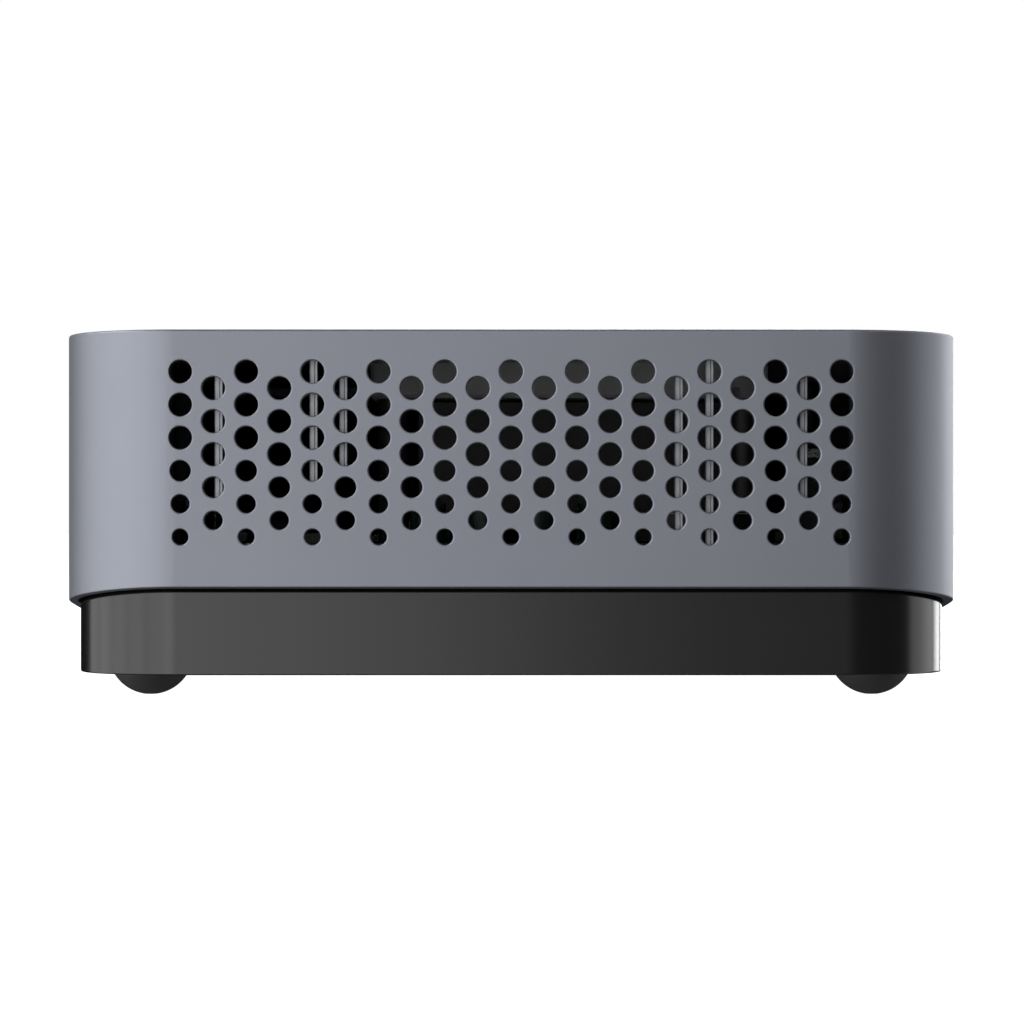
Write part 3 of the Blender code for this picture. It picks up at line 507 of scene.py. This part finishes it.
def make_base():
    """Tray with a rounded shoulder just under the shell's rim."""
    edge = 0.25
    rings = []
    for step in range(4):
        turn = step / 3 * math.pi / 2
        inset = edge - edge * math.sin(turn)
        level = BASE_BOTTOM + edge - edge * math.cos(turn)
        rings.append([(x, y, level) for x, y in outline(BASE_HALF - inset, BASE_R - inset)])
    shoulder = ((0.0, 0.86), (0.02, 0.73), (0.08, 0.57), (0.2, 0.37), (0.4, 0.14), (0.7, -0.1), (0.7, -0.6))
    for inset, drop in shoulder:
        rings.append(base_ring(inset, drop))
    neck = shoulder[-1][0]
    rings.append([(x, y, BASE_RIM) for x, y in outline(BASE_HALF - neck, BASE_R - neck)])
    inner = outline(BASE_HALF - BASE_WALL, BASE_R - BASE_WALL)
    rings.append([(x, y, BASE_RIM) for x, y in inner])
    rings.append([(x, y, FLOOR_TOP) for x, y in inner])
    base = rings_solid(rings)
    for x in (-FOOT_AT, FOOT_AT):
        for y in (-FOOT_AT, FOOT_AT):
            join(base, rod((x, y), 4.6, FLOOR_TOP - 0.8, BASE_RIM - 0.4))
            cut(base, rod((x, y), 5.75, BASE_BOTTOM - 1, BASE_BOTTOM + 0.9, sides=48))
            cut(base, rod((x, y), 3.1, BASE_BOTTOM, 14.0), rod((x, y), SCREW_BORE_R, 13.0, BASE_RIM + 1))
            board_post = (math.copysign(53.0, x), math.copysign(40.0, y))
            join(base, rod(board_post, 3.0, FLOOR_TOP - 0.8, BASE_HIGH.z))
    for side in (-1, 1):
        join(base, rod((side * 50.0, 0), 4.4, FLOOR_TOP - 0.8, 11.0))
        cut(base, rod((side * 50.0, 0), 2.6, BASE_BOTTOM - 1, 9.4))
    door_high = box_mm("drive_door")[1]
    recess = (2 * door_high.x + 0.6, 2 * door_high.y + 0.6)
    cut(base, prism(rounded(78.0, 104.0, 3, 8), BASE_BOTTOM - 1, FLOOR_TOP + 0.4))
    cut(base, prism(rounded(*recess, DOOR_R + 0.3, 12), BASE_BOTTOM - 1, BASE_BOTTOM + 1.2))
    for node in ("door_screw_1", "door_screw_2"):
        at = middle(node)
        join(base, rod((at.x, at.y), 3.0, FLOOR_TOP - 0.5, 9.5))
        cut(base, rod((at.x, at.y), 1.3, BASE_BOTTOM, 8.0))
    piece(base, "base_fine", BASE, ("base",), sharp=60)


def make_door():
    """Door with cooling slots, screw holes and two hooks at its far end."""
    high = box_mm("drive_door")[1]
    size = (2 * high.x, 2 * high.y)
    bottom = BASE_BOTTOM
    rings = []
    for inset, z in ((0.25, bottom), (0.07, bottom + 0.07), (0.0, bottom + 0.25), (0.0, bottom + 1.0)):
        outer = rounded(size[0] - 2 * inset, size[1] - 2 * inset, DOOR_R - inset, 12)
        rings.append([(x, y, z) for x, y in outer])
    door = rings_solid(rings)
    join(door, prism(rounded(77.4, 103.4, 2.7, 8), bottom + 0.5, FLOOR_TOP - 0.2))
    slots = bmesh.new()
    for row in range(-3, 4):
        for side in (-1, 1):
            outlines = []
            for grow, z in ((0.25, bottom - 1), (0.25, bottom), (0.0, bottom + 0.25), (0.0, FLOOR_TOP + 1)):
                slot = rounded(26 + 2 * grow, 2.4 + 2 * grow, 1.2 + grow, 8, (side * 19, row * 7.0))
                outlines.append([(x, y, z) for x, y in slot])
            add_rings(slots, outlines)
    cut(door, raw(slots))
    for node in ("door_screw_1", "door_screw_2"):
        at = middle(node)
        centre = (at.x, at.y)
        cut(door, rod(centre, 1.5, bottom - 1, FLOOR_TOP), rod(centre, 2.5, bottom - 1, bottom + 0.5))
    for x in (-36.4, 36.4):
        join(door, block((x - 1, 46, FLOOR_TOP - 0.5), (x + 1, 51.2, high.z)))
        join(door, block((x - 1, 50.8, FLOOR_TOP + 0.2), (x + 1, 54.4, high.z)))
    piece(door, "drive_door_fine", BASE, ("drive_door",), sharp=60)


def make_feet():
    """Domes with a small flat where they touch the table."""
    ball = FOOT_BALL_R
    touch = math.asin(0.9 / ball)
    lift = ball * (1 - math.cos(touch))
    end = math.acos(1 - BASE_BOTTOM / ball)
    for i in range(1, 5):
        at = middle(f"foot_{i}")
        top = box_mm(f"foot_{i}")[1].z
        rings = []
        for step in range(15):
            angle = touch + (end - touch) * step / 14
            z = ball * (1 - math.cos(angle)) - lift
            rings.append([(x, y, z) for x, y in circle(ball * math.sin(angle), 56, (at.x, at.y))])
        rings.append([(x, y, top) for x, y in circle(5.4, 56, (at.x, at.y))])
        piece(rings_solid(rings), f"foot_{i}_fine", RUBBER, (f"foot_{i}",), sharp=60)


# ---------------------------------------------------------------- panels and controls


def make_panel(node, side, openings, name):
    """Port panel: a flange behind the shell, and a face that stands in the shell's opening."""
    back = HALF - WALL - 0.3
    flange = panel_outline(node, PANEL_FLANGE)
    panel = prism(flange, side * (back - 1.0), side * back, "Y")
    join(panel, prism(panel_outline(node, -0.3), side * (back - 0.5), side * PANEL_FACE, "Y"))
    punches = bmesh.new()
    for opening in openings:
        add_rings(punches, [[(a, side * t, b) for a, b in opening] for t in (back - 3, HALF + 2)])
    cut(panel, raw(punches))
    piece(panel, name, PANEL, (node,), bevel=0.12)


def front_panel():
    button, light = middle("power_button"), middle("light_pipe")
    jack, usb_c, reset = middle("audio_jack"), middle("usb_c_front"), middle("reset_plunger")
    z = button.z
    openings = [
        circle(4.5, 48, (button.x, z)),
        circle(1.2, 24, (light.x, z)),
        circle(2.9, 32, (jack.x, z - 0.6)),
        rounded(9.5, 3.8, 1.85, 8, (usb_c.x, usb_c.z)),
        circle(0.9, 20, (reset.x, z)),
    ]
    for node in ("usb_a_front_1", "usb_a_front_2"):
        at = middle(node)
        openings.append(rounded(13.8, 6.4, 0.5, 3, (at.x, at.z)))
    make_panel("front_panel", -1, openings, "front_panel_fine")


def rear_panel():
    power, lan, usb = middle("power_jack"), middle("lan_jack"), middle("usb_a_rear")
    board = box_mm("lan_jack")[0].z
    openings = [
        circle(3.9, 40, (power.x, board + 6.4)),
        rounded(16.6, 14.1, 0.4, 3, (lan.x, board + 6.75)),
        rounded(13.8, 15.9, 0.4, 3, (usb.x, board + 7.85)),
        rounded(3.0, 7.0, 0.8, 4, (-42.4, 27.0)),
    ]
    for node in ("hdmi_1", "hdmi_2"):
        openings.append(hdmi_outline(middle(node).x, 0.3))
    for i in range(-8, 9):
        openings.append(rounded(2.6, 5.4, 1.3, 8, (i * 4.9, 43.6)))
    make_panel("rear_panel", 1, openings, "rear_panel_fine")


def hdmi_outline(x, grow=0.0):
    low, high = box_mm("hdmi_1")
    z0, z1 = low.z, high.z
    return [
        (x - 7.3 - grow, z1 + grow),
        (x - 7.3 - grow, z0 + 2.0),
        (x - 5.6 - grow, z0 - grow),
        (x + 5.6 + grow, z0 - grow),
        (x + 7.3 + grow, z0 + 2.0),
        (x + 7.3 + grow, z1 + grow),
    ]


def make_controls():
    low, high = box_mm("power_button")
    at = (low + high) / 2
    front = low.y
    centre = (at.x, at.z)
    dish = [(0.02, 0.3), (1.2, 0.27), (2.4, 0.18), (3.2, 0.06), (3.45, 0.0)]
    rim = [(3.75, 0.0), (4.0, 0.08), (4.2, 0.28), (4.2, 2.48)]
    stem = [(1.4, 2.5), (1.4, high.y - front)]
    rings = []
    for radius, depth in dish + rim + stem:
        rings.append([(x, front + depth, z) for x, z in circle(radius, 56, centre)])
    cap = rings_solid(rings)
    piece(cap, "power_button_fine", BUTTON, ("power_button",), sharp=50, body="button")

    low, high = box_mm("light_pipe")
    x, z = (low.x + high.x) / 2, at.z
    rings = []
    for radius, depth in ((0.3, 0.0), (0.62, 0.08), (0.82, 0.28), (0.9, 0.55), (0.9, 6.0)):
        rings.append([(a, low.y + depth, b) for a, b in circle(radius, 28, (x, z))])
    pipe = rings_solid(rings)
    join(pipe, block((x - 1.0, low.y + 3.9, low.z), (x + 1.0, high.y, z + 0.85)))
    piece(pipe, "light_pipe_fine", CLEAR, ("light_pipe",))
    refine("reset_plunger", BUTTON, 0.05)
    refine("power_switch", MOULDED, 0.15)
    refine("reset_switch", MOULDED, 0.15)


# ---------------------------------------------------------------- ports


def usb_a(node, side, levels):
    """Folded steel shell with sprung catches, a tongue and its contacts."""
    low, high = box_mm(node)
    x = (low.x + high.x) / 2
    face = side * PORT_FACE
    back = low.y if side > 0 else high.y
    port = block((low.x, face, low.z), (high.x, back, high.z))
    tongues, contacts, catches = [], [], []

    def inward(depth):
        return side * (PORT_FACE - depth)

    for z in levels:
        cut(port, prism(rounded(12.4, 5.0, 0.35, 3, (x, z)), inward(12), inward(-1), "Y"))
        tongues.append(((x - 5.6, inward(1.4), z + 0.1), (x + 5.6, inward(11.9), z + 1.9)))
        for i in range(4):
            cx = x - 3.5 + i * 7 / 3
            contacts.append(((cx - 0.5, inward(2.0), z - 0.02), (cx + 0.5, inward(9), z + 0.12)))
        for cx in (x - 3.0, x + 3.0):
            catches.append(((cx - 0.8, inward(2.2), z - 2.49), (cx + 0.8, inward(6.5), z - 2.2)))
    piece(port, f"{node}_shell", NICKEL, (node,), bevel=0.1)
    piece(blocks(tongues), f"{node}_tongue", USB_BLUE, bevel=0.15)
    piece(blocks(contacts), f"{node}_contacts", GOLD, bevel=0.03)
    piece(blocks(catches), f"{node}_catches", NICKEL, bevel=0.08)


def make_ports():
    z = middle("power_button").z
    usb_a("usb_a_front_1", -1, [z])
    usb_a("usb_a_front_2", -1, [z])
    board = box_mm("lan_jack")[0].z
    usb_a("usb_a_rear", 1, [board + 3.7, board + 11.9])

    low, high = box_mm("usb_c_front")
    x, z = (low.x + high.x) / 2, (low.z + high.z) / 2
    port = prism(rounded(8.9, 3.2, 1.55, 10, (x, z)), low.y, high.y, "Y")
    cut(port, prism(rounded(8.3, 2.6, 1.25, 10, (x, z)), low.y - 1, high.y - 1, "Y"))
    piece(port, "usb_c_shell", NICKEL, ("usb_c_front",), bevel=0.06)
    tongue = block((x - 3.3, low.y + 0.9, z - 0.35), (x + 3.3, high.y - 0.95, z + 0.35))
    piece(tongue, "usb_c_tongue", MOULDED, bevel=0.12)
    pins = []
    for i in range(12):
        px = x - 2.75 + i * 0.5
        for way in (-1, 1):
            pins.append(((px - 0.12, low.y + 1.2, z + way * 0.33), (px + 0.12, low.y + 5.5, z + way * 0.39)))
    piece(blocks(pins), "usb_c_contacts", GOLD)

    low, high = box_mm("audio_jack")
    x, z = (low.x + high.x) / 2, middle("power_button").z - 0.6
    body = block((low.x, low.y + 2.6, low.z), (high.x, high.y, high.z))
    join(body, rod((x, z), 2.6, low.y, low.y + 3.0, "Y", 40))
    cut(body, rod((x, z), 1.8, low.y - 1, low.y + 11.5, "Y", 32))
    piece(body, "audio_jack_fine", MOULDED, ("audio_jack",), bevel=0.12)
    ring = rod((x, z), 1.76, low.y + 0.9, low.y + 2.2, "Y", 32)
    cut(ring, rod((x, z), 1.55, low.y, low.y + 3, "Y", 32))
    piece(ring, "audio_jack_ring", GOLD)

    low, high = box_mm("power_jack")
    x, z = (low.x + high.x) / 2, board + 6.4
    jack = block((low.x, low.y, low.z), (high.x, high.y - 2.6, high.z))
    join(jack, rod((x, z), 3.6, high.y - 3, high.y, "Y", 40))
    cut(jack, rod((x, z), 2.9, high.y - 10, high.y + 1, "Y", 40))
    piece(jack, "power_jack_fine", MOULDED, ("power_jack",), bevel=0.12)
    pin = rod((x, z), 0.95, high.y - 9.9, high.y - 1.2, "Y", 24)
    piece(pin, "power_jack_pin", NICKEL, bevel=0.25)

    for node in ("hdmi_1", "hdmi_2"):
        low, high = box_mm(node)
        x = (low.x + high.x) / 2
        port = prism(hdmi_outline(x), low.y, high.y, "Y")
        cut(port, prism(hdmi_outline(x, -0.4), high.y - 10, high.y + 1, "Y"))
        piece(port, f"{node}_shell", NICKEL, (node,), bevel=0.1)
        z = board + 3.4
        tongue = block((x - 5.0, high.y - 9.95, z - 0.6), (x + 5.0, high.y - 1.2, z + 0.6))
        piece(tongue, f"{node}_tongue", MOULDED, bevel=0.12)
        pins = []
        for i in range(10):
            px = x - 4.5 + i
            for way in (-1, 1):
                start = (px - 0.2, high.y - 1.8, z + way * 0.57)
                pins.append((start, (px + 0.2, high.y - 8, z + way * 0.66)))
        piece(blocks(pins), f"{node}_contacts", GOLD)

    low, high = box_mm("lan_jack")
    x = (low.x + high.x) / 2
    z0, z1, z2, z3 = (low.z + dz for dz in (1.4, 2.9, 4.4, 12.2))
    half = [(5.9, z3), (5.9, z2), (3.2, z2), (3.2, z1), (2.0, z1), (2.0, z0)]
    mouth = [(x + dx, z) for dx, z in half] + [(x - dx, z) for dx, z in reversed(half)]
    port = block((low.x, low.y, low.z), (high.x, high.y, high.z))
    cut(port, prism(mouth, high.y - 14, high.y + 1, "Y"))
    for way in (-1, 1):
        centre = (x + way * 5.6, low.z + 2.6)
        cut(port, prism(rounded(2.4, 1.7, 0.2, 3, centre), high.y - 1.5, high.y + 1, "Y"))
    piece(port, "lan_jack_shell", DARK_NICKEL, ("lan_jack",), bevel=0.12)
    for way, material, name in ((-1, LED_GREEN, "lan_light_link"), (1, LED_AMBER, "lan_light_busy")):
        centre = (x + way * 5.6, low.z + 2.6)
        lamp = prism(rounded(2.3, 1.6, 0.2, 3, centre), high.y - 1.4, high.y - 0.1, "Y")
        piece(lamp, name, material, bevel=0.12)
    pins = []
    for i in range(8):
        px = x - 3.57 + i * 1.02
        pins.append(((px - 0.18, high.y - 2.5, z3 - 1.5), (px + 0.18, high.y - 12, z3 - 1.2)))
        pins.append(((px - 0.18, high.y - 12.05, z3 - 4.4), (px + 0.18, high.y - 12.35, z3 - 1.2)))
    piece(blocks(pins), "lan_jack_contacts", GOLD)


# ---------------------------------------------------------------- inside


# each rib's y and the z of its lower end
RIBS = ((-41.0, 27.0), (-27.7, 29.4), (-23.55, 31.8), (23.5, 19.8), (27.8, 19.8), (40.95, 27.0))
RIB_HALF = 0.56
COMB_DEPTH = 1.6


def make_vent_comb(node, side):
    """Ribs behind a vent wall: each has soft edges and a fine seam down its face."""
    low, high = box_mm(node)
    outer, inner = (high.x, low.x) if side > 0 else (low.x, high.x)
    inward = -side
    rail_bottom = high.z - 1.3
    comb = block((inner, low.y, rail_bottom), (outer, high.y, high.z))
    left_edge = [(-RIB_HALF, COMB_DEPTH), (-RIB_HALF, 0.14), (-0.42, 0.0)]
    seam = [(0.1, 0.0), (0.17, 0.16), (0.24, 0.05)]
    right_edge = [(0.5, 0.05), (RIB_HALF, 0.12), (RIB_HALF, COMB_DEPTH)]
    section = left_edge + seam + right_edge
    ribs = bmesh.new()
    for y, end in RIBS:
        ring = [(outer + inward * depth, side * y + across) for across, depth in section]
        add_rings(ribs, [[(*p, end) for p in ring], [(*p, rail_bottom + 0.4) for p in ring]])
    join(comb, raw(ribs))
    piece(comb, f"{node}_fine", RIB, (node,), sharp=30)


def make_inside():
    refine("motherboard", BOARD, 0.08)
    refine("cpu", CHIP, 0.1)
    refine("heatsink", SINK, 0.06)
    for node in ("memory_socket", "storage_socket", "wireless_socket", "battery_holder", "drive_connector"):
        refine(node, MOULDED, 0.12)
    for node in ("memory_module", "storage_card", "wireless_card"):
        refine(node, BOARD, 0.05)
    refine("battery", STEEL, 0.2)
    refine("storage_drive", DRIVE, 0.3)
    refine("drive_ribbon", FLEX)
    refine("antenna_left", FLEX, 0.05)
    refine("antenna_right", FLEX, 0.05)
    refine("fan_lead", WIRE, 0.1)
    for i in (1, 2):
        refine(f"mount_insert_{i}", BRASS, 0.12)
        refine(f"door_screw_{i}", STEEL, 0.12)
    for i in range(1, 5):
        refine(f"closing_screw_{i}", STEEL, 0.12)
        refine(f"board_screw_{i}", STEEL, 0.12)
    refine("storage_screw", STEEL, 0.12)
    make_vent_comb("vent_comb_left", -1)
    make_vent_comb("vent_comb_right", 1)
    # foam sheet that blocks the view through the far vents, coloured near black as painted shade for the
    # inside of the case
    refine("dust_filter", FOAM_PAINTED_SHADE, 0.15)


def make_fan_housing():
    """Square fan frame with a chamfered lower edge and the motor's mount, on four black legs."""
    low, high = box_mm("fan_housing")
    half = high.x
    cx, cy = 0.0, (low.y + high.y) / 2
    z0, z1 = ROTOR_LOW.z - 0.2, high.z
    rings = []
    lower_edge = ((0.7, z0), (0.35, z0 + 0.12), (0.1, z0 + 0.55), (0.0, z0 + 0.8))
    for inset, z in (*lower_edge, (0.0, z1 - 0.3), (0.3, z1)):
        width = 2 * (half - inset)
        rings.append([(x, y, z) for x, y in rounded(width, width, 4 - inset, 8, (cx, cy))])
    housing = rings_solid(rings)
    cut(housing, rod((cx, cy), 27.0, z0 - 1, z1 - 0.8, sides=72))
    leg_at = half - 3.6
    legs = []
    for dx in (-leg_at, leg_at):
        for dy in (-leg_at, leg_at):
            legs.append(rod((cx + dx, cy + dy), 2.4, low.z, z0 - 0.05, sides=24))
    cut(housing, block((half - 2, cy + 24.3, z0 - 1), (half + 1, cy + 25.6, z0 + 1.6)))
    join(housing, rod((cx, cy), 3.0, z1 - 2.0, z1 - 0.4, sides=32))
    piece(housing, "fan_housing_fine", FAN, ("fan_housing",), sharp=35)
    for i, leg in enumerate(legs):
        piece(leg, f"fan_leg_{i + 1}", MOULDED, ("fan_housing",), bevel=0.1)


def make_rotor():
    """Fan rotor with swept, pitched blades round a flat-topped hub with a bevelled lower edge."""
    low, high = box_mm("fan_rotor")
    housing_low, housing_high = box_mm("fan_housing")
    cx, cy = (housing_low.x + housing_high.x) / 2, (housing_low.y + housing_high.y) / 2
    z0, z1 = low.z, high.z
    middle_z = (z0 + z1) / 2
    blade_count, blade_steps = 11, 8
    root, span = 10.6, 15.3
    chord, thickness = 2.3, 0.6
    rings = []
    for radius, z in ((0.5, z0), (9.6, z0), (10.6, z0 + 0.3), (11.0, z0 + 0.9), (11.0, z1), (0.5, z1)):
        rings.append([(x, y, z) for x, y in circle(radius, 48, (cx, cy))])
    rotor = rings_solid(rings)
    blades = bmesh.new()
    for i in range(blade_count):
        spin = 2 * math.pi * i / blade_count
        sections = []
        for step in range(blade_steps + 1):
            share = step / blade_steps
            radius = root + span * share
            sweep = spin + 0.5 * share**1.3
            tilt = 0.75 - 0.25 * share
            corners = []
            for side, up in ((-1, -1), (1, -1), (1, 1), (-1, 1)):
                angle = sweep + side * chord / radius * 0.5 * math.cos(tilt)
                z = middle_z + side * chord / 2 * math.sin(tilt) + up * thickness / 2
                corners.append((cx + radius * math.cos(angle), cy + radius * math.sin(angle), z))
            sections.append(corners)
        add_rings(blades, sections)
    join(rotor, raw(blades))
    piece(rotor, "fan_rotor_fine", FAN, ("fan_rotor",), sharp=45, body="rotor")


# ---------------------------------------------------------------- studio


def softbox(name, place, size, radiance, towards=(0.0, 0.0, 0.025)):
    """Soft panel at a place in metres, facing the computer, unseen by the camera."""
    data = bpy.data.lights.new(name, "AREA")
    data.shape = "RECTANGLE"
    data.size, data.size_y = size
    data.energy = radiance * math.pi * size[0] * size[1]
    obj = bpy.data.objects.new(name, data)
    bpy.context.scene.collection.objects.link(obj)
    obj.location = place
    obj.rotation_euler = (Vector(towards) - Vector(place)).to_track_quat("-Z", "Y").to_euler()
    obj.visible_camera = False


def wall_light(name, start, end, radiance, low=-0.9):
    """Upright panel that covers the azimuths from start to end, in degrees from +X towards +Y."""
    reach, high = 1.3, 1.1
    angle = math.radians((start + end) / 2)
    width = 2 * reach * math.tan(math.radians(end - start) / 2)
    middle_z = (low + high) / 2
    place = (reach * math.cos(angle), reach * math.sin(angle), middle_z)
    softbox(name, place, (width, high - low), radiance, (0.0, 0.0, middle_z))


def make_studio():
    """White surroundings that only the camera sees, and soft panels round the computer."""
    world = bpy.data.worlds.new("white_room")
    bpy.context.scene.world = world
    world.use_nodes = True
    white = (1.0, 1.0, 1.0, 1.0)
    world.node_tree.nodes["Background"].inputs["Color"].default_value = white
    world.node_tree.nodes["Background"].inputs["Strength"].default_value = 1.0
    for kind in ("diffuse", "glossy", "transmission", "scatter"):
        setattr(world.cycles_visibility, kind, False)

    shape = bmesh.new()
    bmesh.ops.create_grid(shape, x_segments=1, y_segments=1, size=40.0)
    mesh = bpy.data.meshes.new("floor")
    shape.to_mesh(mesh)
    shape.free()
    floor = bpy.data.objects.new("floor", mesh)
    bpy.context.scene.collection.objects.link(floor)
    material, _, shader = new_material("pale_floor")
    shader.inputs["Base Color"].default_value = (0.2, 0.2, 0.2, 1.0)
    shader.inputs["Roughness"].default_value = 0.9
    shader.inputs["Emission Color"].default_value = white
    shader.inputs["Emission Strength"].default_value = 1.1
    mesh.materials.append(material)
    floor.visible_diffuse = False
    floor.visible_glossy = False
    floor.visible_transmission = False
    floor.visible_shadow = False

    back_low = -0.12
    for i, radiance in enumerate((1.5, 2.25, 2.45, 2.55, 2.4)):
        wall_light(f"key_{i + 1}", 20.0 * i - 119, 20.0 * i - 100, radiance)
    wall_light("key_near", -20.0, -10.0, 3.0)
    wall_light("key_end", -10.0, 0.0, 1.7)
    wall_light("near_right", 0.0, 14.0, 0.25)
    wall_light("fill", 14.0, 78.0, 0.07)
    wall_light("rim_1", 80.0, 100.0, 1.35)
    wall_light("rim_2", 100.0, 120.0, 1.7)
    wall_light("back_right", 126.0, 144.0, 4.8, back_low)
    wall_light("back", 156.0, 180.0, 8.5, back_low)
    softbox("top_left", (0.1, -1.0, 1.1), (1.2, 0.7), 5.5)
    softbox("fill_high", (0.75, 0.75, 1.0), (1.4, 0.8), 1.1)
    softbox("overhead", (-0.5, 0.2, 1.4), (0.9, 0.9), 0.6)
    softbox("under", (0.0, 0.0, -0.7), (1.4, 1.4), 0.22)


def make_camera():
    data = bpy.data.cameras.new("camera")
    camera = bpy.data.objects.new("camera", data)
    bpy.context.scene.collection.objects.link(camera)
    camera.location = (0.494, 0.0, 0.0231)
    camera.rotation_euler = Vector((-1.0, 0.0, 0.0)).to_track_quat("-Z", "Y").to_euler()
    data.sensor_width = 36.0
    data.lens = 108.3
    data.shift_x = 0.0008
    data.shift_y = 0.0202
    data.clip_start = 0.01
    data.clip_end = 100.0
    bpy.context.scene.camera = camera


make_shell()
make_top_panel()
make_base()
make_door()
make_feet()
front_panel()
rear_panel()
make_controls()
make_ports()
make_inside()
make_fan_housing()
make_rotor()
make_studio()
make_camera()
bpy.context.scene.view_settings.view_transform = "Standard"
